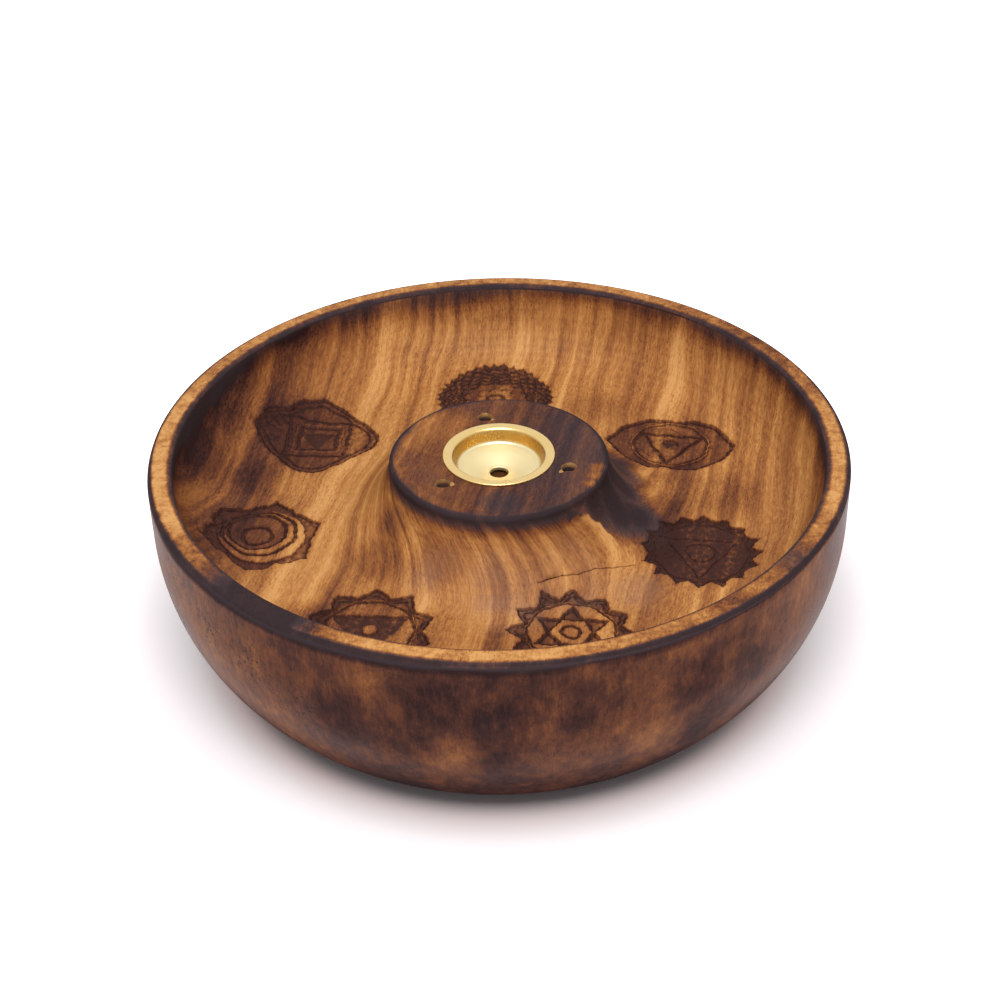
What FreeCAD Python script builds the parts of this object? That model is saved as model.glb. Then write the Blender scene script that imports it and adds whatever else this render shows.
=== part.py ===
import FreeCAD, Part
import enum
import math
import os

import Sketcher
from FreeCAD import Vector

# A turned wooden incense burner: a bowl with a boss in its middle, and a brass cup that lifts out of it.
# Millimetres, +Z up, origin at the centre of the underside. The front of the burner looks along -Y.

SIZES = [
    ("bowl_radius", 75.0, "outside of the upright wall"),
    ("bowl_height", 50.0, "underside to rim"),
    ("base_radius", 56.0, "flat underside that the bowl rests on"),
    ("belly_height", 38.0, "where the rounded belly runs into the upright wall"),
    ("rim_width", 5.2, "flat band round the top"),
    ("rim_outer_round", 1.6, "rounding of the rim's outer edge"),
    ("rim_inner_round", 1.2, "rounding of the rim's inner edge"),
    ("trough_depth", 18.0, "rim to the floor of the trough"),
    ("lip_height", 2.0, "upright lip inside the rim, above the cove"),
    ("cove_width", 16.0, "rounded run from the lip in to the floor"),
    ("boss_radius", 23.8, "side of the boss"),
    ("boss_drop", 3.8, "rim down to the top of the boss"),
    ("boss_side", 1.9, "upright side of the boss, above the flare"),
    ("boss_round", 1.1, "rounding of the boss's top edge"),
    ("flare_width", 15.0, "hollow run from the boss's side out to the floor"),
    ("stick_radius", 1.5, "drilled hole for an incense stick"),
    ("stick_depth", 14.0, "straight wall of a stick hole"),
    ("stick_circle", 15.8, "radius of the ring of stick holes"),
    ("stick_count", 3, "stick holes round the cup"),
    ("stick_angle", 101.0, "degrees from +X to the first stick hole"),
    ("cup_flange_radius", 12.15, "rim of the cup that rests on the boss"),
    ("cup_mouth_radius", 9.8, "inside of the cup at the top"),
    ("cup_floor_radius", 9.0, "inside of the cup where the wall meets the floor"),
    ("cup_wall_depth", 2.9, "top of the flange to the edge of the cup's floor"),
    ("cup_dish", 2.0, "fall of the cup's floor towards its hole"),
    ("cup_hole_radius", 2.05, "hole in the middle of the cup"),
    ("cup_hole_lip", 0.9, "turned-down edge of that hole"),
    ("cup_sheet", 0.6, "thickness of the brass"),
    ("cup_edge_round", 0.25, "rounding of the flange's outer edge"),
    ("cup_mouth_round", 1.0, "rounding where the flange turns down"),
    ("cup_floor_round", 0.8, "rounding where the wall meets the floor"),
    ("socket_clearance", 0.3, "gap between the cup's wall and its socket"),
    ("socket_room", 0.8, "gap between the cup's lowest edge and the socket's floor"),
    ("pilot_radius", 2.5, "hole of the drill's centre point, under the socket"),
    ("pilot_depth", 5.0, "straight wall of the pilot hole"),
    ("drill_angle", 118.0, "included angle of the drill's tip"),
]

# Heights and radii that several features share, worked out from the sheet.
BOSS_TOP = "(Sizes.bowl_height - Sizes.boss_drop)"
TROUGH_FLOOR = "(Sizes.bowl_height - Sizes.trough_depth)"
RIM_INSIDE = "(Sizes.bowl_radius - Sizes.rim_width)"
CUP_TOP = f"({BOSS_TOP} + Sizes.cup_sheet)"
CUP_FLOOR_EDGE = f"({CUP_TOP} - Sizes.cup_wall_depth)"
CUP_FLOOR_MIDDLE = f"({CUP_FLOOR_EDGE} - Sizes.cup_dish)"
CUP_LOWEST = f"({CUP_FLOOR_MIDDLE} - Sizes.cup_hole_lip)"
SOCKET_RADIUS = "(Sizes.cup_mouth_radius + Sizes.cup_sheet + Sizes.socket_clearance)"
SOCKET_FLOOR = f"({CUP_LOWEST} - Sizes.socket_room)"
PILOT_FLOOR = f"({SOCKET_FLOOR} - Sizes.pilot_depth)"
PILOT_TIP = f"({PILOT_FLOOR} - Sizes.pilot_radius / tan(Sizes.drill_angle / 2))"

# The edge that leaves a corner of an outline: straight, or an arc that is tangent at one of its ends.
STRAIGHT = "straight"
ARC_LEAVES_TANGENT = "arc that carries on in the direction of the edge before it"
ARC_ARRIVES_TANGENT = "arc that runs into the direction of the edge after it"


class Point(enum.IntEnum):
    """How a sketch numbers the points of an edge."""
    START = enum.auto()
    END = enum.auto()
    CENTRE = enum.auto()


class Axis(enum.IntEnum):
    """How a sketch numbers its own axes, which both start at its origin."""
    UP = -2
    ACROSS = -1


def make_sheet(doc):
    sheet = doc.addObject("Spreadsheet::Sheet", "Sizes")
    for row, (alias, number, meaning) in enumerate(SIZES, start=1):
        sheet.set(f"A{row}", alias)
        sheet.set(f"B{row}", str(number))
        sheet.setAlias(f"B{row}", alias)
        sheet.set(f"C{row}", meaning)
    doc.recompute()
    return sheet


def worked_out(body, expression):
    return float(body.evalExpression(expression))


def make_body(doc, label):
    body = doc.addObject("PartDesign::Body", label)
    body.Label = label
    return body


def new_sketch(body, name, role):
    """An empty sketch on one of the body's own origin planes."""
    sketch = body.newObject("Sketcher::SketchObject", name)
    plane = next(item for item in body.Origin.OriginFeatures if item.Role == role)
    sketch.AttachmentSupport = [(plane, "")]
    sketch.MapMode = "FlatFace"
    return sketch


def pin_point(sketch, edge, end, across, up, name):
    """Hold one end of an edge at a radius and a height, both taken from the sheet."""
    for kind, axis, expression in (("DistanceX", Axis.UP, across), ("DistanceY", Axis.ACROSS, up)):
        if expression == "0":
            sketch.addConstraint(Sketcher.Constraint("PointOnObject", edge, end, axis))
            continue
        distance = worked_out(sketch, expression)
        index = sketch.addConstraint(Sketcher.Constraint(kind, Axis.ACROSS, Point.START, edge, end, distance))
        sketch.renameConstraint(index, f"{name}_{kind}")
        sketch.setExpression(f"Constraints.{name}_{kind}", expression)


def tangent_arc(tangent_at, direction, other):
    """The arc through both points that has the given direction at the first one."""
    side = Vector(-direction.y, direction.x, 0)
    chord = other - tangent_at
    radius = chord.dot(chord) / (2 * side.dot(chord))
    centre = tangent_at + side * radius
    angles = [math.atan2(point.y - centre.y, point.x - centre.x) for point in (tangent_at, other)]
    turns_left = radius > 0
    first, last = angles if turns_left else reversed(angles)
    circle = Part.Circle(centre, Vector(0, 0, 1), abs(radius))
    return Part.ArcOfCircle(circle, first, last), turns_left


def half_section(body, name, corners):
    """A closed outline for turning, through corners given as (radius, height, edge that leaves it)."""
    sketch = new_sketch(body, name, "XZ_Plane")
    points = [Vector(worked_out(body, across), worked_out(body, up), 0) for across, up, _ in corners]
    count = len(corners)
    edges = []
    for index, (_, _, kind) in enumerate(corners):
        begin, finish = points[index], points[(index + 1) % count]
        if kind == STRAIGHT:
            edge = sketch.addGeometry(Part.LineSegment(begin, finish))
            edges.append((edge, Point.START, Point.END))
            continue
        if kind == ARC_LEAVES_TANGENT:
            direction = (begin - points[index - 1]).normalize()
            arc, turns_left = tangent_arc(begin, direction, finish)
        else:
            direction = (finish - points[(index + 2) % count]).normalize()
            arc, turns_left = tangent_arc(finish, direction, begin)
            turns_left = not turns_left
        edge = sketch.addGeometry(arc)
        edges.append((edge, Point.START, Point.END) if turns_left else (edge, Point.END, Point.START))
    for index, (edge, first, last) in enumerate(edges):
        following = (index + 1) % count
        next_edge, next_first, _ = edges[following]
        smooth = corners[index][2] == ARC_ARRIVES_TANGENT or corners[following][2] == ARC_LEAVES_TANGENT
        joint = "Tangent" if smooth else "Coincident"
        sketch.addConstraint(Sketcher.Constraint(joint, edge, last, next_edge, next_first))
    for index, (across, up, _) in enumerate(corners):
        edge, first, _ = edges[index]
        pin_point(sketch, edge, first, across, up, f"corner_{index + 1}")
    return sketch


def turn(body, kind, name, sketch):
    """Turn a half section all the way round the upright axis."""
    feature = body.newObject(kind, name)
    feature.Profile = sketch
    feature.ReferenceAxis = (sketch, ["V_Axis"])
    feature.Angle = 360
    body.Document.recompute()
    return feature


def check_cut(feature):
    if feature.Shape.Volume >= feature.BaseFeature.Shape.Volume:
        raise RuntimeError(f"{feature.Name} removes no material")


def round_edge(body, name, base, across, up, size):
    """Round the ring-shaped edge that lies at a radius and a height."""
    radius = worked_out(body, across)
    height = worked_out(body, up)
    for number, edge in enumerate(base.Shape.Edges, start=1):
        curve = edge.Curve
        if not isinstance(curve, Part.Circle):
            continue
        if abs(curve.Radius - radius) + abs(curve.Center.z - height) < 1e-4:
            fillet = body.newObject("PartDesign::Fillet", name)
            fillet.Base = (base, [f"Edge{number}"])
            fillet.setExpression("Radius", size)
            body.Document.recompute()
            return fillet
    raise RuntimeError(f"{name}: no edge at radius {radius} and height {height}")


def drill_stick_holes(body):
    """The ring of blind holes for incense sticks, drilled straight down into the boss."""
    doc = body.Document
    sketch = new_sketch(body, "stick_hole_place", "XY_Plane")
    sketch.setExpression("AttachmentOffset.Base.z", BOSS_TOP)
    sketch.setExpression("AttachmentOffset.Rotation.Angle", "Sizes.stick_angle")
    centre = Vector(worked_out(body, "Sizes.stick_circle"), 0, 0)
    radius = worked_out(body, "Sizes.stick_radius")
    circle = sketch.addGeometry(Part.Circle(centre, Vector(0, 0, 1), radius))
    pin_point(sketch, circle, Point.CENTRE, "Sizes.stick_circle", "0", "centre")
    index = sketch.addConstraint(Sketcher.Constraint("Radius", circle, radius))
    sketch.renameConstraint(index, "radius")
    sketch.setExpression("Constraints.radius", "Sizes.stick_radius")
    doc.recompute()

    hole = body.newObject("PartDesign::Hole", "stick_hole")
    hole.Profile = sketch
    hole.DepthType = "Dimension"
    hole.DrillPoint = "Angled"
    hole.setExpression("Diameter", "2 * Sizes.stick_radius")
    hole.setExpression("Depth", "Sizes.stick_depth")
    hole.setExpression("DrillPointAngle", "Sizes.drill_angle")
    doc.recompute()
    check_cut(hole)

    ring = body.newObject("PartDesign::PolarPattern", "stick_holes")
    ring.Originals = [hole]
    ring.Axis = (sketch, ["N_Axis"])
    ring.Angle = 360
    ring.setExpression("Occurrences", "Sizes.stick_count")
    body.Tip = ring
    doc.recompute()


def make_turned_bowl(doc):
    body = make_body(doc, "turned_bowl")
    blank = half_section(body, "blank_outline", [
        ("0", "0", STRAIGHT),
        ("Sizes.base_radius", "0", ARC_ARRIVES_TANGENT),
        ("Sizes.bowl_radius", "Sizes.belly_height", STRAIGHT),
        ("Sizes.bowl_radius", "Sizes.bowl_height", STRAIGHT),
        ("0", "Sizes.bowl_height", STRAIGHT),
    ])
    turn(body, "PartDesign::Revolution", "blank", blank)

    flare_top = f"({BOSS_TOP} - Sizes.boss_side)"
    lip_foot = "(Sizes.bowl_height - Sizes.lip_height)"
    trough = half_section(body, "trough_outline", [
        ("0", BOSS_TOP, STRAIGHT),
        ("Sizes.boss_radius", BOSS_TOP, STRAIGHT),
        ("Sizes.boss_radius", flare_top, ARC_ARRIVES_TANGENT),
        ("(Sizes.boss_radius + Sizes.flare_width)", TROUGH_FLOOR, STRAIGHT),
        (f"({RIM_INSIDE} - Sizes.cove_width)", TROUGH_FLOOR, ARC_LEAVES_TANGENT),
        (RIM_INSIDE, lip_foot, STRAIGHT),
        (RIM_INSIDE, "Sizes.bowl_height", STRAIGHT),
        ("0", "Sizes.bowl_height", STRAIGHT),
    ])
    hollow = turn(body, "PartDesign::Groove", "trough", trough)
    check_cut(hollow)

    socket = half_section(body, "socket_outline", [
        ("0", PILOT_TIP, STRAIGHT),
        ("Sizes.pilot_radius", PILOT_FLOOR, STRAIGHT),
        ("Sizes.pilot_radius", SOCKET_FLOOR, STRAIGHT),
        (SOCKET_RADIUS, SOCKET_FLOOR, STRAIGHT),
        (SOCKET_RADIUS, BOSS_TOP, STRAIGHT),
        ("0", BOSS_TOP, STRAIGHT),
    ])
    bored = turn(body, "PartDesign::Groove", "cup_socket", socket)
    check_cut(bored)

    rim_out = ("Sizes.bowl_radius", "Sizes.bowl_height", "Sizes.rim_outer_round")
    rim_in = (RIM_INSIDE, "Sizes.bowl_height", "Sizes.rim_inner_round")
    boss = ("Sizes.boss_radius", BOSS_TOP, "Sizes.boss_round")
    base = round_edge(body, "rim_outer_edge", bored, *rim_out)
    base = round_edge(body, "rim_inner_edge", base, *rim_in)
    round_edge(body, "boss_edge", base, *boss)
    drill_stick_holes(body)
    return body


def make_cone_cup(doc):
    body = make_body(doc, "cone_cup")
    under_flange = f"({CUP_TOP} - Sizes.cup_sheet)"
    hole_outside = "(Sizes.cup_hole_radius + Sizes.cup_sheet)"
    dish_slope = "(Sizes.cup_dish / (Sizes.cup_floor_radius - Sizes.cup_hole_radius))"
    lip_root = f"({CUP_FLOOR_MIDDLE} + {dish_slope} * Sizes.cup_sheet - Sizes.cup_sheet)"
    outline = half_section(body, "cup_outline", [
        ("Sizes.cup_flange_radius", CUP_TOP, STRAIGHT),
        ("Sizes.cup_mouth_radius", CUP_TOP, STRAIGHT),
        ("Sizes.cup_floor_radius", CUP_FLOOR_EDGE, STRAIGHT),
        ("Sizes.cup_hole_radius", CUP_FLOOR_MIDDLE, STRAIGHT),
        ("Sizes.cup_hole_radius", CUP_LOWEST, STRAIGHT),
        (hole_outside, CUP_LOWEST, STRAIGHT),
        (hole_outside, lip_root, STRAIGHT),
        ("(Sizes.cup_floor_radius + Sizes.cup_sheet)", f"({CUP_FLOOR_EDGE} - Sizes.cup_sheet)", STRAIGHT),
        ("(Sizes.cup_mouth_radius + Sizes.cup_sheet)", under_flange, STRAIGHT),
        ("Sizes.cup_flange_radius", under_flange, STRAIGHT),
    ])
    base = turn(body, "PartDesign::Revolution", "pressed_sheet", outline)
    flange = ("Sizes.cup_flange_radius", CUP_TOP, "Sizes.cup_edge_round")
    mouth = ("Sizes.cup_mouth_radius", CUP_TOP, "Sizes.cup_mouth_round")
    floor = ("Sizes.cup_floor_radius", CUP_FLOOR_EDGE, "Sizes.cup_floor_round")
    base = round_edge(body, "flange_edge", base, *flange)
    base = round_edge(body, "mouth_edge", base, *mouth)
    round_edge(body, "floor_edge", base, *floor)
    return body


def check_document(doc, bodies):
    for item in doc.Objects:
        if "Invalid" in item.State or "Error" in item.State:
            raise RuntimeError(f"{item.Label} failed to build: {item.State}")
    for body in bodies:
        if body.Shape.isNull() or not body.Shape.isValid() or len(body.Shape.Solids) != 1:
            raise RuntimeError(f"{body.Label} is not one valid solid")


def main():
    doc = FreeCAD.newDocument("IncenseBurner")
    make_sheet(doc)
    bodies = [make_turned_bowl(doc), make_cone_cup(doc)]
    doc.recompute()
    check_document(doc, bodies)
    os.makedirs("parts", exist_ok=True)
    for body in bodies:
        body.Shape.exportStep(f"parts/{body.Label}.step")
        print(body.Label, f"{body.Shape.Volume:.1f} mm3")


main()
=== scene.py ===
"""Incense burner: a scorched, carved wooden bowl with a lift-out brass cone cup."""
import math

import bmesh
import bpy
import numpy as np
from mathutils import Matrix, Vector
from mathutils.geometry import delaunay_2d_cdt


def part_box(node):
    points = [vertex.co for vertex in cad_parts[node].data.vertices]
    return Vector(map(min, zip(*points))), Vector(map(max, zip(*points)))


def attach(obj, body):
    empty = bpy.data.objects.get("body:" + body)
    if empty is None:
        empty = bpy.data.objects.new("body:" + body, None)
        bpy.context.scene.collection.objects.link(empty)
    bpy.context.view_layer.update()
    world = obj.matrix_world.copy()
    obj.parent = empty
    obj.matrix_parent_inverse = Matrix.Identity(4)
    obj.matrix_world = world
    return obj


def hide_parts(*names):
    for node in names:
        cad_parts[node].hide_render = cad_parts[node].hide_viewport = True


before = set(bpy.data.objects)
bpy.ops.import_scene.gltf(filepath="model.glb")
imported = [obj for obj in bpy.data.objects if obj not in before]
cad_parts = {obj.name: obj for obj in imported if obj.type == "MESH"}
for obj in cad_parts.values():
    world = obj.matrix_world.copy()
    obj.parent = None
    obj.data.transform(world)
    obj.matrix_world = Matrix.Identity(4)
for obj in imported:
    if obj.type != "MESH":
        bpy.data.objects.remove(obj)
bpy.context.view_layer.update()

# Sizes are in millimetres until a mesh is made; MM turns them into metres
MM = 0.001

# Turned bowl, read from the frame where the frame's box gives it
_, bowl_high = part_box("turned_bowl")
BOWL_RADIUS = bowl_high.x / MM
BOWL_HEIGHT = bowl_high.z / MM
BASE_RADIUS = 56.0
BELLY_HEIGHT = 38.0
RIM_WIDTH = 5.2
RIM_OUTER_ROUND = 1.6
RIM_INNER_ROUND = 1.2
TROUGH_DEPTH = 18.0
LIP_HEIGHT = 2.0
COVE_WIDTH = 16.0
BOSS_RADIUS = 23.8
BOSS_DROP = 3.8
BOSS_SIDE = 1.9
BOSS_ROUND = 1.1
FLARE_WIDTH = 15.0
MOUTH_RADIUS = BOWL_RADIUS - RIM_WIDTH
FLOOR_LEVEL = BOWL_HEIGHT - TROUGH_DEPTH
BOSS_TOP = BOWL_HEIGHT - BOSS_DROP
FLARE_END = BOSS_RADIUS + FLARE_WIDTH
FLARE_RISE = BOSS_TOP - BOSS_SIDE - FLOOR_LEVEL
FLARE_ARC = (FLARE_WIDTH ** 2 + FLARE_RISE ** 2) / (2 * FLARE_RISE)
COVE_START = MOUTH_RADIUS - COVE_WIDTH
COVE_RISE = TROUGH_DEPTH - LIP_HEIGHT
COVE_ARC = (COVE_WIDTH ** 2 + COVE_RISE ** 2) / (2 * COVE_RISE)

# Stick holes and the socket under the cup
STICK_RADIUS = 1.5
STICK_DEPTH = 14.0
STICK_CIRCLE = 15.8
STICK_COUNT = 3
STICK_ANGLE = 101.0
SOCKET_RADIUS = 10.7
SOCKET_FLOOR = 40.2
PILOT_RADIUS = 2.5
PILOT_DEPTH = 5.0
DRILL_TIP = 0.6

# Brass cup, hung in the socket by its flange
_, cup_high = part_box("cone_cup")
CUP_TOP = cup_high.z / MM
FLANGE_RADIUS = cup_high.x / MM
CUP_SHEET = 0.6
CUP_MOUTH = 9.8
CUP_FLOOR_RADIUS = 9.0
CUP_WALL_DEPTH = 2.9
CUP_DISH = 2.0
CUP_HOLE = 2.05
CUP_HOLE_LIP = 0.9

# Mesh density, and the radii of the faces that are filled with triangles
COLUMNS = 320
CUP_COLUMNS = 160
TROUGH_IN = 30.5
TROUGH_OUT = 67.0
BOSS_FLAT = 22.4
MEDALLION_REACH = 15.2
COARSE_PITCH = 1.5
FINE_PITCH = 0.6
EDGE_PITCH = 0.26
WALL_PITCH = 0.09
OUTLINE_STEP = 0.2
CUT_WALL = 0.08
SHARP_ANGLE = 38.0

# Room between the points of a fill and what they stop at
COARSE_MARGIN = 0.9
FINE_MARGIN = 0.3
FLAT_MARGIN = 0.8
HOLE_MARGIN = 2.2
EDGE_MARGIN = 0.22
CRACK_MARGIN = 0.4


def circle_points(radius, count=COLUMNS, centre=(0.0, 0.0)):
    """Points round a circle in plan."""
    angles = np.arange(count) * 2 * math.pi / count
    return np.column_stack([centre[0] + radius * np.cos(angles), centre[1] + radius * np.sin(angles)])


def distance_from(centre, x, y):
    """Distance of plan points from a centre."""
    return np.hypot(x - centre[0], y - centre[1])


def in_ring(points, inner, outer, margin):
    """Which plan points lie between two circles, with a margin to each."""
    radius = np.hypot(*points.T)
    return (radius > inner + margin) & (radius < outer - margin)


def arc_points(centre, radius, start, end, steps):
    """Profile points along an arc, with its angles in degrees."""
    angles = np.radians(np.linspace(start, end, steps + 1))
    return [(centre[0] + radius * math.cos(a), centre[1] + radius * math.sin(a)) for a in angles]


def trough_height(radius):
    """Height of the uncarved trough between the boss and the lip."""
    inward = np.clip(FLARE_END - radius, 0, FLARE_WIDTH)
    outward = np.clip(radius - COVE_START, 0, COVE_WIDTH)
    flare = FLARE_ARC - np.sqrt(FLARE_ARC ** 2 - inward ** 2)
    cove = COVE_ARC - np.sqrt(COVE_ARC ** 2 - outward ** 2)
    return FLOOR_LEVEL + flare + cove


# Shapes for the carving: functions of plan coordinates, negative inside the shape
def disc(radius, at=(0.0, 0.0)):
    return lambda u, v: distance_from(at, u, v) - radius


def regular(sides, inner_radius, first_side):
    """Regular polygon; first_side is the direction that its first side faces, in degrees."""
    faces = np.radians(first_side + 360.0 / sides * np.arange(sides))
    return lambda u, v: np.max([u * math.cos(a) + v * math.sin(a) for a in faces], axis=0) - inner_radius


def petals(count, notch, tip, outline):
    """Flower outline; outline gives the reach from tip to notch over half a petal."""
    turns, reaches = zip(*outline)

    def shape(u, v):
        sector = np.arctan2(u, v) * count / (2 * math.pi)
        turn = 2 * np.abs((sector + 0.5) % 1.0 - 0.5)
        return np.hypot(u, v) - notch - (tip - notch) * np.interp(turn, turns, reaches)

    return shape


def without(shape, hole):
    return lambda u, v: np.maximum(shape(u, v), -hole(u, v))


def either(one, other):
    return lambda u, v: np.minimum(one(u, v), other(u, v))


def both(one, other):
    return lambda u, v: np.maximum(one(u, v), other(u, v))


def line(shape, width):
    """Stroke of that width along a shape's outline."""
    return lambda u, v: np.abs(shape(u, v)) - width / 2


# Petal outlines: share of the way from tip to notch, and the reach there
POINTED = ((0.0, 1.0), (1.0, 0.0))
OGEE = ((0.0, 1.0), (0.1, 0.72), (0.35, 0.52), (0.7, 0.36), (1.0, 0.0))
SPIKED = ((0.0, 1.0), (0.45, 0.35), (1.0, 0.0))
BROAD = ((0.0, 1.0), (0.12, 0.78), (0.4, 0.52), (0.75, 0.27), (1.0, 0.0))
ROUNDED = ((0.0, 1.0), (0.2, 0.8), (0.6, 0.35), (1.0, 0.0))
# Direction that the first side of a triangle faces when its tip points down or up
DOWN, UP = 90.0, 270.0


# Cuts of each carved flower: shapes with their depths, where less than nothing leaves wood standing
def root_cuts():
    flower = petals(4, 11.4, 14.2, ROUNDED)
    return [
        (flower, 0.36),
        (line(flower, 0.7), 0.35),
        (line(petals(4, 10.0, 12.5, ROUNDED), 0.5), 0.3),
        (line(regular(4, 7.0, 0), 0.7), 0.35),
        (line(regular(4, 5.4, 0), 0.6), -0.2),
        (line(regular(4, 4.3, 0), 0.6), 0.3),
        (regular(3, 2.2, DOWN), 0.3),
    ]


def sacral_cuts():
    flower = petals(6, 10.3, 13.0, OGEE)
    moon = disc(7.9, (-0.8, 0.9))
    return [
        (without(flower, disc(9.4)), 0.45),
        (line(flower, 0.5), 0.3),
        (line(moon, 0.8), 0.5),
        (disc(6.3, (-1.4, 1.5)), 0.25),
        (line(disc(6.3, (-1.4, 1.5)), 0.7), 0.4),
        (line(disc(3.2, (-1.2, 0.2)), 0.8), 0.4),
    ]


def solar_cuts():
    flower = petals(10, 10.4, 13.2, POINTED)
    triangle = regular(3, 4.7, DOWN)
    return [
        (without(flower, disc(9.7)), 0.42),
        (line(flower, 0.6), 0.35),
        (line(petals(10, 9.4, 11.6, POINTED), 0.4), 0.25),
        (disc(9.0), 0.24),
        (line(disc(9.2), 0.6), 0.5),
        (triangle, 0.4),
        (disc(1.5, (0.0, 0.2)), -0.5),
    ]


def heart_cuts():
    flower = petals(12, 10.1, 12.9, POINTED)
    up = regular(3, 4.0, UP)
    down = regular(3, 4.0, DOWN)
    return [
        (without(flower, disc(9.5)), 0.4),
        (line(flower, 0.6), 0.35),
        (line(petals(12, 9.2, 11.5, POINTED), 0.4), 0.25),
        (line(disc(9.0), 0.5), 0.45),
        (without(either(up, down), both(up, down)), 0.35),
        (line(up, 0.7), 0.4),
        (line(down, 0.7), 0.4),
        (line(disc(1.9), 0.7), 0.5),
    ]


def throat_cuts():
    triangle = regular(3, 4.6, DOWN)
    return [
        (petals(16, 11.2, 13.1, SPIKED), 0.7),
        (line(disc(10.1), 0.5), 0.3),
        (line(triangle, 0.6), 0.3),
        (line(disc(3.1), 0.6), 0.3),
        (line(petals(16, 10.5, 12.0, SPIKED), 0.35), 0.25),
    ]


def third_eye_cuts():
    def sideways(u, v):
        return petals(2, 9.2, 14.6, BROAD)(v, u)

    return [
        (without(sideways, disc(9.0)), 0.4),
        (line(sideways, 0.8), 0.35),
        (line(disc(8.4), 0.6), 0.45),
        (disc(8.0), 0.2),
        (disc(6.2, (-2.0, 0.6)), 0.15),
        (line(regular(3, 3.9, DOWN), 0.8), 0.5),
        (disc(1.9, (0.0, 0.4)), 0.5),
    ]


def crown_cuts():
    cuts = [(petals(36, 13.2, 14.0, SPIKED), 0.42)]
    for row in range(5):
        radius = 12.4 - 1.2 * row
        cuts.append((line(petals(30 - 4 * row, radius - 0.35, radius + 0.45, POINTED), 0.5), 0.35))
    cuts.append((petals(8, 3.6, 5.8, OGEE), -0.15))
    cuts.append((line(disc(2.0), 0.6), 0.35))
    return cuts


# Name, centre in plan, clockwise turn in degrees and cuts of each carved flower
MEDALLIONS = (
    ("root", (-42.2, 30.3), 5.0, root_cuts()),
    ("sacral", (-51.7, -8.4), 10.0, sacral_cuts()),
    ("solar", (-27.0, -41.3), 4.0, solar_cuts()),
    ("heart", (13.9, -43.5), 5.0, heart_cuts()),
    ("throat", (42.7, -16.9), 8.0, throat_cuts()),
    ("third_eye", (39.7, 24.7), 12.0, third_eye_cuts()),
    ("crown", (-0.5, 46.4), 0.0, crown_cuts()),
)


def in_plan(shape, centre, turn):
    """A carved shape, set into the bowl's plan with a slight hand-cut wobble."""
    cos_turn = math.cos(math.radians(turn))
    sin_turn = math.sin(math.radians(turn))

    def placed(x, y):
        dx = x - centre[0]
        dy = y - centre[1]
        u = cos_turn * dx - sin_turn * dy
        v = sin_turn * dx + cos_turn * dy
        u_wobble = 0.16 * np.sin(1.1 * v + centre[0]) + 0.10 * np.sin(3.1 * v + 2.3 * u + centre[1])
        v_wobble = 0.16 * np.sin(1.2 * u + centre[1]) + 0.10 * np.sin(3.7 * u - 1.9 * v + centre[0])
        return shape(u + u_wobble, v + v_wobble)

    return placed


CUTS = [
    (in_plan(shape, centre, turn), depth, centre)
    for _, centre, turn, cuts in MEDALLIONS
    for shape, depth in cuts
]


# Least slope of a shape's value that its distances reckon with
LEAST_SLOPE = 0.3
# Marks of the gouge: their depth, and the depth of cut that shows them in full
GOUGE_DEPTH = 0.05
GOUGE_FULL = 0.3
FLOWER_MARGIN = 0.5
# Stands for any distance from an edge that is too great to matter
FAR = 9.0


def slope(shape, x, y, step=0.02):
    """Gradient of a shape's value in plan."""
    along_x = (shape(x + step, y) - shape(x - step, y)) / (2 * step)
    along_y = (shape(x, y + step) - shape(x, y - step)) / (2 * step)
    return along_x, along_y


def edge_distance(shape, x, y):
    """Signed distance to a shape's outline, close to that outline."""
    along_x, along_y = slope(shape, x, y)
    return shape(x, y) / np.maximum(np.hypot(along_x, along_y), LEAST_SLOPE)


def carving(x, y):
    """Depth of the carving and distance to the nearest cut edge at plan points."""
    depth = np.zeros_like(x)
    edge = np.full_like(x, FAR)
    for shape, added, centre in CUTS:
        spot = distance_from(centre, x, y) < MEDALLION_REACH + FLOWER_MARGIN
        distance = edge_distance(shape, x[spot], y[spot])
        depth[spot] += added * np.clip(0.5 - distance / (2 * CUT_WALL), 0, 1)
        edge[spot] = np.minimum(edge[spot], np.abs(distance))
    gouges = np.sin(3.9 * x + 1.3 * y) * np.sin(3.4 * y - 0.8 * x) + 0.6 * np.sin(7.3 * x - 5.1 * y)
    depth += GOUGE_DEPTH * gouges * np.clip(depth / GOUGE_FULL, 0, 1)
    return depth, edge


def thin_out(points, pitch):
    """One point for each square cell of that pitch."""
    cells = np.round(points / pitch).astype(int)
    return points[np.unique(cells, axis=0, return_index=True)[1]]


def outline_points(shape, centre):
    """Point pairs that straddle a shape's outline, at the top and foot of the cut's wall."""
    span = np.arange(-MEDALLION_REACH, MEDALLION_REACH, OUTLINE_STEP)
    x, y = np.meshgrid(centre[0] + span, centre[1] + span)
    value = shape(x, y)
    found = []
    starts = range(len(span) - 1)
    for axis in (0, 1):
        first = np.take(value, starts, axis)
        last = np.take(value, range(1, len(span)), axis)
        crossed = first * last < 0
        share = (first / (first - last + 1e-12))[crossed]
        start_x = np.take(x, starts, axis)[crossed]
        start_y = np.take(y, starts, axis)[crossed]
        found.append(np.column_stack([
            start_x + OUTLINE_STEP * share * (axis == 1),
            start_y + OUTLINE_STEP * share * (axis == 0),
        ]))
    points = thin_out(np.vstack(found), EDGE_PITCH)
    along_x, along_y = slope(shape, points[:, 0], points[:, 1])
    length = np.maximum(np.hypot(along_x, along_y), 1e-6)
    step = np.column_stack([along_x / length, along_y / length]) * CUT_WALL
    return np.vstack([points + step, points - step])


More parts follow.
